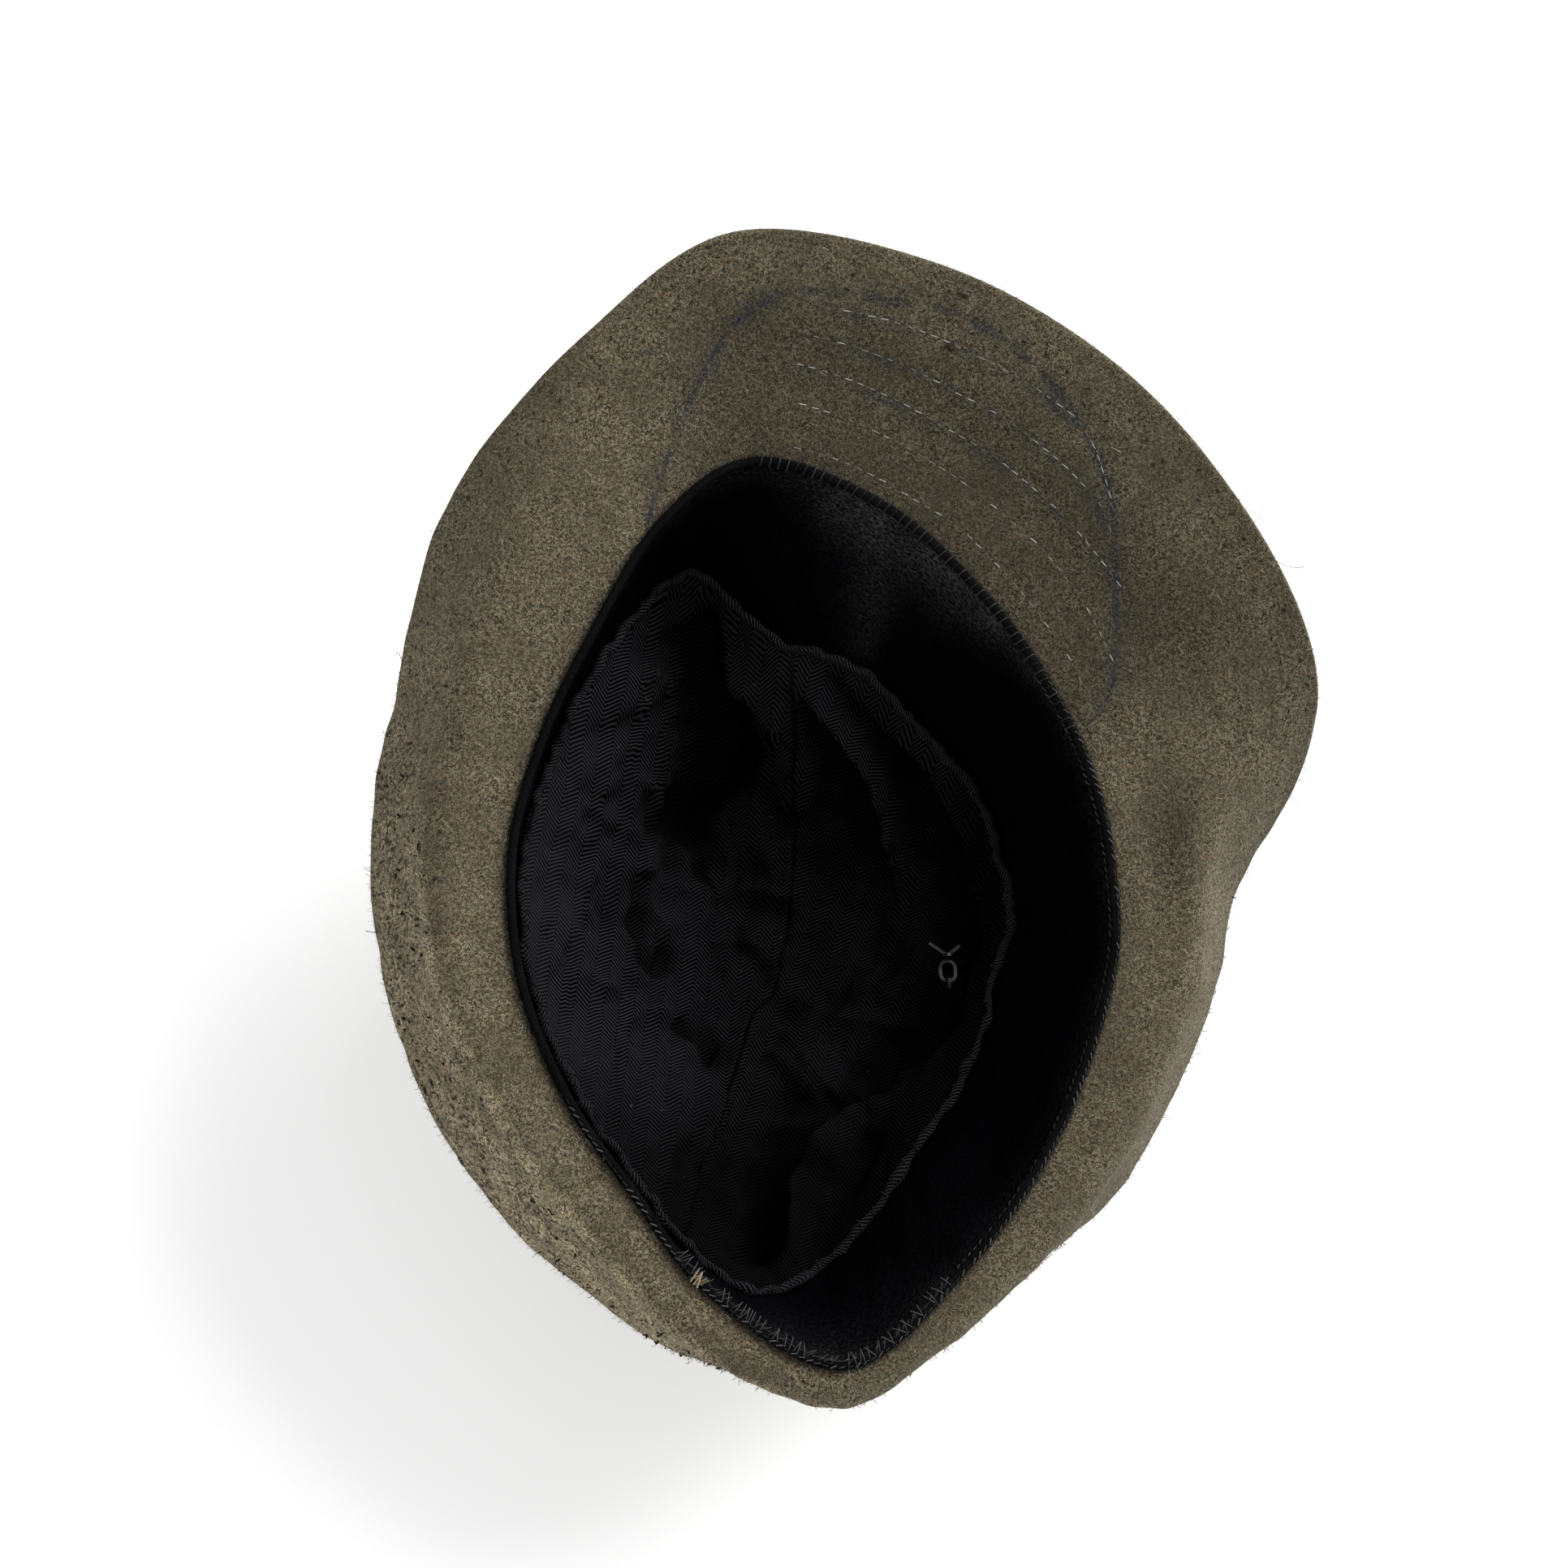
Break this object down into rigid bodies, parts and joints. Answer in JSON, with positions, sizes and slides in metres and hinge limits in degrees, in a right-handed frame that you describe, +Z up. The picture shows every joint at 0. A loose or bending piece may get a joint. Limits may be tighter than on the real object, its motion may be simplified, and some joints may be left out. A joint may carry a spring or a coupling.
{
  "type": "tyrolean hat",
  "caption": "Loden felt hat lying upside down on its crown, with a leather sweatband and a loose cotton lining inside.",
  "frame": {"origin": "middle of the hat's footprint, on the surface that it lies on", "axes": "+Z up with the hat upside down, +Y towards the wearer's front, +X towards the wearer's right as the hat lies"},
  "size_m": [0.2152, 0.2574, 0.1498],
  "materials": {
    "loden_felt": "olive-brown fulled wool, short hairy nap",
    "black_leather": "black grained leather, soft sheen",
    "welt_binding": "thin black piping, dull",
    "lining_cotton": "black herringbone cotton, matt",
    "fastener_steel": "dark steel with bright edges"
  },
  "bodies": {
    "root": {"brim": "loden_felt", "crown": "loden_felt", "sweatband": "black_leather", "welt": "welt_binding", "lining": "lining_cotton", "stud": "fastener_steel", "split_pin": "fastener_steel", "ring": "fastener_steel"}
  },
  "joints": []
}
